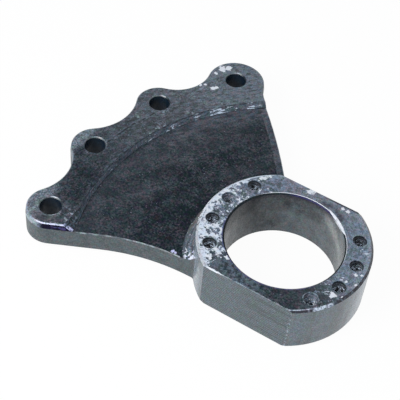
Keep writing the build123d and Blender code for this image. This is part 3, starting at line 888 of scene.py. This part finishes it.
def streak_bore(f):
    """The pale streak that slants up the bored wall, a painted reflection, and the dark places about it,
    painted shade.
    """
    slope = f.plus(f.times(f.minus(f.angle, STREAK_ANGLE), STREAK_RISE), STREAK_HEIGHT)
    from_streak = f.minus(f.z, slope)
    streak = f.times(f.band(from_streak, -0.004, 0.007, 0.004), f.sector(STREAK_SECTOR))
    f.lay(BORED_GLARE, streak, f.mottle(0.007, 0.34, 0.58, 0.6, 1, rough=0.6))
    below = f.times(f.sector(UNDER_STREAK_SECTOR), f.fade(from_streak, -0.006, -0.012, 0, 0.3))
    upper = f.times(f.sector(BORE_UPPER_SECTOR), f.down(0.025, 0.007, 0, 0.4))
    f.lay(BORED_DARK, f.most(below, upper))
    dull_shade = f.times(f.sector(BORE_SHADE_SECTOR), f.band(f.z, 0.026, 0.039, 0.004))
    above = f.times(f.sector(BORE_GLARE_SECTOR), f.fade(from_streak, 0.008, 0.012))
    f.lay(BORED_DARK, f.most(dull_shade, above), 0.6)
    f.lay(BORED_BLUE, f.sector(BORE_UPRIGHT_SECTOR), f.band(f.z, 0.015, 0.038, 0.006), 0.7)


def border_bore(f):
    """The dark border under the rim, painted shade that is darkest behind, and the painted glare next to
    the rim's bright wedge.
    """
    shade = f.down(0.008, 0.002)
    f.lay(BLACK_VIOLET, shade, f.side(BORE_SHADED_SIDE), 0.8)
    f.lay(BLACK_VIOLET, f.sector(BORE_BORDER_SECTOR), f.down(0.0032, 0.0024), 0.85)
    f.lay(BARE_AND_GLARE, f.sector(BORE_GLARE_SECTOR), f.down(0.0038, 0.0026))


def fillet_finish():
    """Glossy paint in the cast hollow: brown grey streaks round the ring that grow paler towards it as a
    painted reflection, and bright runs in front as painted glints.
    """
    f = Finish("root_hollow")
    f.colour = painted(f)
    outer = RING_RADIUS + FILLET_RADIUS
    arcs = f.along_arc(AXIS, RING_RADIUS, 5, -1)
    streaks = f.mottle(0.003, 0.38, 0.54, 0.2, 1, 5, 0.65, arcs)
    # Paler towards the ring: painted reflection in the hollow
    upper = f.fade(f.radius, outer - 0.0002, RING_RADIUS + FILLET_RADIUS * 0.35, 0.4)
    f.lay(f.mix(f.mottle(0.006, 0.44, 0.58, place=arcs), PAINT_RUBBED, FILLET_BROWN), upper, streaks)
    border = f.band(f.radius, outer - 0.0016, outer - 0.0004, 0.0004)
    f.lay(DUST_AND_SHEEN, border, f.mottle(0.006, 0.38, 0.5, 0.1, 0.85))
    # Painted glints: bright runs in front
    front = f.times(f.fade(f.y, -0.026, -0.048, -0.4), 0.12)
    front = f.plus(front, f.fade(f.y, -0.042, -0.052, 0, 0.08))
    clumps = f.mottle(0.005, 0.4, 0.58, -0.06, 0.05, 2)
    runs = f.plus(f.noise(0.0018, 4, 0.65, f.stretched(upwards=4)), front, clumps)
    metal = f.mix(f.mottle(0.002, 0.35, 0.5, detail=2), BARE_VIOLET_AND_GLINT, BARE_AND_GLARE)
    f.lay(metal, f.fade(runs, 0.63, 0.66))
    return satin(f, 0.16, 0.28, 0.0005)


def web_rim_finish():
    """Broken edge of the web: paint rubbed to a thin pale line."""
    f = Finish("web_rim")
    f.colour = f.mix(f.mottle(0.005, 0.4, 0.6, 0, 0.7), PAINT_GREY, DUST_AND_SHEEN)
    return satin(f, 0.3, 0.45)


def pad_rim_finish():
    """Broken edge of the pad: speckled, with a painted bright glint along the front lug."""
    f = Finish("pad_rim")
    rubbed = f.mottle(0.003, 0.4, 0.6)
    f.colour = f.mix(rubbed, PAINT_GREY, PAINT_RUBBED)
    front = f.times(f.fade(f.y, -0.06, -0.07), f.fade(f.x, *FIRST_LUG_GLINT_X, 0.25))
    front_glint = f.mottle(0.0032, 0.38, 0.5, 0.35, 1, 3)
    f.lay(f.mix(rubbed, BARE_BLUE_AND_GLINT, BARE_VIOLET_AND_GLINT), front, front_glint)
    return satin(f, 0.2, 0.35)


def hole_rim_finish():
    """Chamfers of the lug holes: rubbed paint, a painted highlight where they look towards the light, and
    painted shade on their side towards +X.
    """
    f = Finish("hole_rim")
    f.colour = f.mix(f.mottle(0.004, 0.4, 0.62, 0, 0.3, 3), CAST_DARK, DUST_AND_SHEEN)
    glints = []
    dull_shades = []
    for centre, bright, around in zip(lug_centres, LUG_GLINTS, LUG_RIMS):
        away = f.distance(centre)
        angle = f.turn(centre)
        aside = f.math("ABSOLUTE", angle)
        within = f.near(centre, LUG_HOLE_RADIUS + 0.0025, 0.0005)
        # Painted shade on the side of each chamfer towards +X
        dull_shades.append(f.times(f.fade(aside, 95, 60), within, 1.2 - around))
        outer = f.band(away, LUG_HOLE_RADIUS + LUG_HOLE_CHAMFER * 0.6, LUG_HOLE_RADIUS + 0.002, 0.0002)
        rubbed = f.mottle(0.005, 0.42, 0.56, 0.1, 0.7, 3)
        f.lay(DUST_AND_SHEEN, outer, rubbed, f.fade(aside, 60, 110, around))
        # Painted highlight: a bright arc on the side of each chamfer that looks towards the light
        arc = f.band(away, LUG_HOLE_RADIUS + 0.0006, LUG_HOLE_RADIUS + 0.0017, 0.0002)
        glints.append(f.times(f.band(angle, 96, 124, 9), arc, bright))
    dull_shade = f.most(*dull_shades)
    f.lay(BLACK, dull_shade, 0.8)
    f.lay(BARE_BLUE_AND_GLINT, f.most(*glints), f.mottle(0.005, 0.4, 0.52, 0.2, 1, 3))
    f.set(GLOSS, f.span(dull_shade, 0.5, 0.1))
    return satin(f, 0.2, 0.35)


def tap_finish():
    """Tapped holes: rubbed countersinks, oily black threads with bare crests that a painted highlight makes
    brighter further down.
    """
    f = Finish("tapped_hole")
    away = f.chain("MINIMUM", *[f.distance(centre) for centre in tap_centres])
    # Painted highlight: the crests grow brighter further down
    deep = f.down(0.0035, 0.007, 0.1)
    worn = f.mottle(0.0021, 0.44, 0.58, 0.05, 1, 3, 0.7)
    crests = f.times(f.fade(away, THREAD_MAJOR_RADIUS - 0.0002, TAP_RADIUS), worn, deep)
    f.set(GLOSS, f.span(crests, 0.3))
    f.set("Metallic", f.times(crests, 0.9))
    f.colour = f.mix(crests, BLACK, BARE_COLD_AND_GLINT)
    dirty = f.most(*[f.near(tap_centres[i], THREAD_MAJOR_RADIUS + 0.001, 0.0005) for i in DIRTY_TAPS])
    dirt = f.times(dirty, f.mottle(0.003, 0.38, 0.56, 0.3, 0.9, rough=0.65))
    f.lay(RING_GREY, dirt, f.span(deep, 0.5))
    flecks = f.times(dirty, f.mottle(0.0018, 0.53, 0.6, detail=3, rough=0.7))
    f.lay(BARE_AND_GLARE, flecks, f.span(deep, 0.15))
    rubbed = f.mix(f.mottle(0.0024, 0.45, 0.6, detail=3), RING_GREY_DARK, DUST_AND_SHEEN)
    f.lay(rubbed, f.down(0.0018, 0.0006, 0, 0.8))
    return satin(f, 0.3, 0.45)


def hole_finish():
    """Inside of the lug holes: black, a little oily."""
    f = Finish("hole_wall")
    f.colour = f.mix(f.noise(0.003, 3), BLACK, PAINT_BLACK)
    f.set(GLOSS, 0.14)
    return satin(f, 0.3, 0.5)


def underside_finish():
    """Machined underside, with a film of paint and a few rubs."""
    f = Finish("underside")
    f.colour = painted(f)
    f.lay(PAINT_RUBBED, f.mottle(0.006, 0.5, 0.7, place=f.stretched(4, 20)), 0.5)
    f.lay(DUST_AND_SHEEN, worn_edge(f, 0.0015), 0.6)
    return satin(f, 0.36, 0.52)


finishes = {
    "web": web_finish(),
    "pad": pad_finish(),
    "step": step_finish(),
    "wall": wall_finish(),
    "pad_wall": pad_wall_finish(),
    "corner": corner_finish(),
    "ring_top": ring_top_finish(),
    "ring_rim": ring_rim_finish(),
    "ring_wall": ring_wall_finish(),
    "bore_rim": bore_rim_finish(),
    "bore": bore_finish(),
    "flat": flat_finish(),
    "fillet": fillet_finish(),
    "web_rim": web_rim_finish(),
    "pad_rim": pad_rim_finish(),
    "hole_rim": hole_rim_finish(),
    "hole": hole_finish(),
    "tap": tap_finish(),
    "underside": underside_finish(),
}
zone_names = list(finishes)


def near_any(point, holes, reach):
    return any((point - hole).length < reach for hole in holes)


def zone_of(centre, normal):
    """Which finish a face has, from where it is and which way it looks."""
    if near_any(centre.xy, tap_centres, TAP_RADIUS + TAP_COUNTERSINK):
        return "tap"
    if near_any(centre.xy, lug_centres, LUG_HOLE_RADIUS + LUG_HOLE_CHAMFER):
        return "hole_rim" if abs(normal.z) > SLANTED and centre.z > WEB_FACE else "hole"
    if normal.z < DOWNWARDS:
        return "underside"
    if normal.z > LEVEL:
        if centre.z > RING_TOP - NEAR_HEIGHT:
            return "ring_top"
        return "pad" if centre.z > PAD_FACE - NEAR_HEIGHT else "web"
    if hypot(centre.x, centre.y) < RING_RADIUS + NEAR_RADIUS:
        return ring_zone_of(centre, normal)
    return web_zone_of(centre, normal)


def ring_zone_of(centre, normal):
    """Which finish an upright or slanting face of the ring has."""
    radius = hypot(centre.x, centre.y)
    wall = abs(normal.z) < UPRIGHT
    if radius < BORE_RADIUS + NEAR_RADIUS and wall:
        return "bore"
    if radius < BORE_RADIUS + BORE_CHAMFER:
        return "bore_rim"
    if abs(normal.y) > LEVEL:
        return "flat"
    if wall:
        return "ring_wall"
    return "ring_rim" if centre.z > RING_TOP - RIM_HEIGHT or normal.z < 0 else "fillet"


def web_zone_of(centre, normal):
    """Which finish an upright or slanting face of the web or the pad has."""
    in_hollow = hypot(centre.x, centre.y) < RING_RADIUS + FILLET_RADIUS
    if in_hollow and normal.z > 0 and centre.z > WEB_FACE - NEAR_HEIGHT / 2:
        return "fillet"
    if centre.z < WEB_FACE:
        return "web_rim" if normal.z > SLANTED else "wall"
    if normal.x > CORNER_NORMAL_X and normal.z > CORNER_NORMAL_Z and centre.y < CORNER_Y:
        return "corner"
    if abs(normal.z) > SLANTED:
        return "pad_rim"
    return "step" if normal.z > SLOPING else "pad_wall"


def put(name, data):
    """Puts a new object in the scene."""
    thing = bpy.data.objects.new(name, data)
    bpy.context.scene.collection.objects.link(thing)
    return thing


def put_piece(name, mesh):
    """Puts a mesh in the scene as a piece of the bracket."""
    piece = put(name, mesh)
    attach(piece, "root")
    return piece


def casting():
    """The casting, with a finish for each of its faces."""
    mesh = frame["nodes"]["bracket"].data.copy()
    mesh.name = "bracket_casting"
    mesh.materials.clear()
    for finish in finishes.values():
        mesh.materials.append(finish)
    for face in mesh.polygons:
        face.material_index = zone_names.index(zone_of(face.center, face.normal))
    open_taps(mesh)
    piece = put_piece("bracket_casting", mesh)
    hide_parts("bracket")


def open_taps(mesh):
    """Widens the drilled walls of the tapped holes to the bottom of their thread."""
    rise = THREAD_MAJOR_RADIUS - TAP_RADIUS
    for vertex in mesh.vertices:
        for centre in tap_centres:
            away = vertex.co.xy - centre
            if abs(away.length - TAP_RADIUS) < NEAR_RADIUS:
                wide = centre + away.normalized() * THREAD_MAJOR_RADIUS
                lift = rise if vertex.co.z > TAP_FLOOR + NEAR_HEIGHT else 0
                vertex.co = (wide.x, wide.y, vertex.co.z + lift)


def threads():
    """The threads of the tapped holes, as one piece."""
    mesh = bpy.data.meshes.new("tapped_threads")
    form = bmesh.new()
    for centre in tap_centres:
        wind_thread(form, centre)
    bmesh.ops.recalc_face_normals(form, faces=form.faces)
    form.to_mesh(mesh)
    form.free()
    mesh.materials.append(finishes["tap"])
    put_piece("tapped_threads", mesh)


def wind_thread(form, centre):
    """One ridge that winds up the wall of a tapped hole, run out at both ends."""
    count = int((THREAD_TOP - THREAD_BOTTOM) / THREAD_PITCH * THREAD_STEPS)
    rings = []
    for i in range(count + 1):
        run_out = min(1, min(i, count - i) / THREAD_STEPS / THREAD_RUN_OUT)
        height = THREAD_BOTTOM + THREAD_PITCH * i / THREAD_STEPS
        rings.append(thread_section(form, centre, 360 * i / THREAD_STEPS, height, run_out))
    for lower, upper in zip(rings, rings[1:]):
        for k in range(len(lower)):
            following = (k + 1) % len(lower)
            form.faces.new((lower[k], lower[following], upper[following], upper[k]))
    form.faces.new(rings[0][::-1])
    form.faces.new(rings[-1])


def thread_section(form, centre, angle, height, run_out):
    """Corners of the ridge's section at one angle; it has no depth where run_out is 0."""
    root = THREAD_PITCH * THREAD_ROOT_SHARE
    crest = THREAD_PITCH * THREAD_CREST_SHARE
    inner = THREAD_MAJOR_RADIUS - (THREAD_MAJOR_RADIUS - TAP_RADIUS) * run_out
    outer = THREAD_MAJOR_RADIUS + THREAD_BURY
    corners = []
    for radius, rise in ((outer, -root), (inner, -crest), (inner, crest), (outer, root)):
        spot = on_circle(radius, angle, centre)
        corners.append(form.verts.new((spot.x, spot.y, height + rise)))
    return corners


def camera():
    """The camera that took the photograph."""
    azimuth = radians(CAMERA_AZIMUTH)
    elevation = radians(CAMERA_ELEVATION)
    roll = radians(CAMERA_ROLL)
    back = Vector((sin(azimuth) * cos(elevation), -cos(azimuth) * cos(elevation), sin(elevation)))
    level = Vector((cos(azimuth), sin(azimuth), 0))
    upright = back.cross(level)
    right = level * cos(roll) + upright * sin(roll)
    up = upright * cos(roll) - level * sin(roll)
    target = Vector((0, 0, RING_TOP))
    data = bpy.data.cameras.new("camera")
    data.sensor_width = SENSOR_WIDTH
    data.lens = FOCAL_LENGTH
    data.clip_start = CAMERA_NEAR
    data.clip_end = CAMERA_FAR
    thing = put("camera", data)
    place = Matrix((right, up, back)).transposed().to_4x4()
    place.translation = target + right * CAMERA_RIGHT + up * CAMERA_UP + back * CAMERA_DISTANCE
    thing.matrix_world = place
    bpy.context.scene.camera = thing


def key_light():
    """A square soft light that looks at the middle of the bracket."""
    data = bpy.data.lights.new("key_light", "AREA")
    data.shape = "SQUARE"
    data.size = LIGHT_SIZE
    data.energy = LIGHT_POWER
    data.color = LIGHT_COLOUR
    thing = put("key_light", data)
    way = Vector(LIGHT_WAY).normalized()
    thing.location = Vector(LIGHT_AIM) + way * LIGHT_DISTANCE
    thing.rotation_euler = way.to_track_quat("Z", "Y").to_euler()


def background_rays(tree):
    """1 for the rays that see the background itself: straight, mirrored and through glass."""
    path = tree.nodes.new("ShaderNodeLightPath")
    total = path.outputs["Is Camera Ray"]
    for name in ("Is Glossy Ray", "Is Transmission Ray"):
        node = tree.nodes.new("ShaderNodeMath")
        node.operation = "MAXIMUM"
        tree.links.new(total, node.inputs[0])
        tree.links.new(path.outputs[name], node.inputs[1])
        total = node.outputs[0]
    return total


def blend_shaders(tree, share, first, second, output):
    """Shows the second shader in a share, and else the first."""
    mix = tree.nodes.new("ShaderNodeMixShader")
    for source, socket in zip((share, first, second), mix.inputs):
        tree.links.new(source, socket)
    tree.links.new(mix.outputs[0], tree.nodes[output].inputs[0])


def world():
    """An even pale room, seen as plain white."""
    thing = bpy.data.worlds.new("world")
    bpy.context.scene.world = thing
    thing.use_nodes = True
    tree = thing.node_tree
    light = tree.nodes["Background"]
    light.inputs["Color"].default_value = ROOM_COLOUR
    light.inputs["Strength"].default_value = ROOM_STRENGTH
    white = tree.nodes.new("ShaderNodeBackground")
    white.inputs["Color"].default_value = WHITE
    blend_shaders(tree, background_rays(tree), light.outputs[0], white.outputs[0], "World Output")


def floor():
    """A wide pale table that shows white and keeps a faint shadow."""
    mesh = bpy.data.meshes.new("floor")
    form = bmesh.new()
    bmesh.ops.create_circle(form, cap_ends=True, segments=FLOOR_SIDES, radius=FLOOR_RADIUS)
    form.to_mesh(mesh)
    form.free()
    f = Finish("floor")
    f.set("Base Color", FLOOR_COLOUR)
    f.set("Roughness", FLOOR_ROUGHNESS)
    glow = f.add("ShaderNodeEmission", Color=WHITE)
    share = f.times(background_rays(f.tree), FLOOR_WHITENESS)
    blend_shaders(f.tree, share, f.shader.outputs[0], glow.outputs[0], "Material Output")
    mesh.materials.append(f.material)
    thing = put("floor", mesh)


casting()
threads()
camera()
world()
floor()
key_light()

bpy.context.scene.view_settings.view_transform = "Standard"
